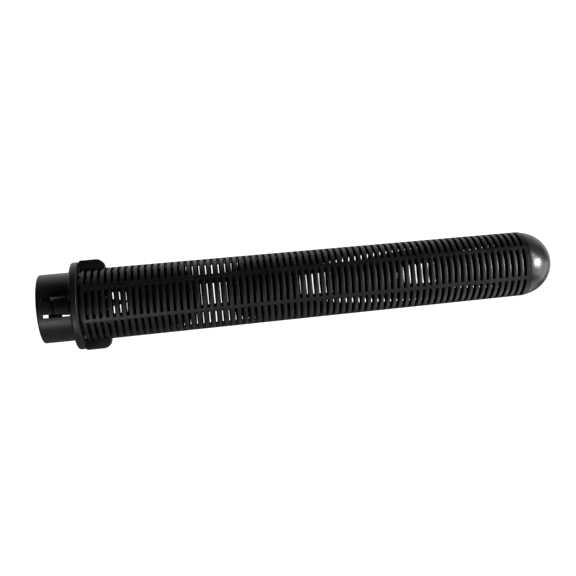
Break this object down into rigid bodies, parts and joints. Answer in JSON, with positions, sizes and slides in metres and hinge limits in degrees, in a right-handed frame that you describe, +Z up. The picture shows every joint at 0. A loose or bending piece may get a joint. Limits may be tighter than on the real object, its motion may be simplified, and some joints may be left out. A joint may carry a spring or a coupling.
{
  "type": "foot valve",
  "caption": "Snap-in foot valve: short spigot with a stop disc, long tapering slotted strainer tube with two finger wings, smooth domed end and a sprung poppet in the neck.",
  "frame": {"origin": "on the valve's axis, in the plane of the stop disc's seating face", "axes": "+X along the axis from the spigot to the dome, +Z up through a finger wing, the front snap tongue faces -Y"},
  "size_m": [0.3648, 0.0612, 0.0628],
  "materials": {
    "satin_body": "satin moulded",
    "strainer": "semi-matt moulded",
    "dome": "glossy moulded",
    "valve_plastic": "smooth",
    "seal_rubber": "matt",
    "steel": "drawn stainless"
  },
  "bodies": {
    "body": {"spigot_body": "satin_body", "seat_ring": "valve_plastic", "seat_o_ring": "seal_rubber", "seat_retaining_ring": "steel", "stem_bush": "valve_plastic", "return_spring": "steel"},
    "front_latch": {"latch_tongue_front": "satin_body"},
    "rear_latch": {"latch_tongue_rear": "satin_body"},
    "strainer": {"strainer_barrel": "strainer", "end_cap": "dome"},
    "poppet": {"poppet_stem": "steel", "poppet_disc": "valve_plastic", "poppet_seal": "seal_rubber", "seal_retainer": "steel", "poppet_washer": "steel", "poppet_nut": "steel", "spring_washer": "steel", "stem_lock_nut": "steel"}
  },
  "joints": [
    {"name": "poppet_lift", "type": "slide", "parent": "body", "child": "poppet", "axis": [-1, 0, 0], "range_m": [0, 0.004], "stiffness_N_per_m": 150, "springref_m": -0.006, "deforming": ["return_spring"]},
    {"name": "front_latch_press", "type": "slide", "parent": "body", "child": "front_latch", "axis": [0, 1, 0], "range_m": [0, 0.0018], "stiffness_N_per_m": 3000},
    {"name": "rear_latch_press", "type": "slide", "parent": "body", "child": "rear_latch", "axis": [0, -1, 0], "range_m": [0, 0.0018], "stiffness_N_per_m": 3000},
    {"name": "strainer_twist", "type": "hinge", "parent": "body", "child": "strainer", "pos_m": [0.008, 0, 0], "axis": [1, 0, 0], "range_deg": [0, 30]}
  ]
}
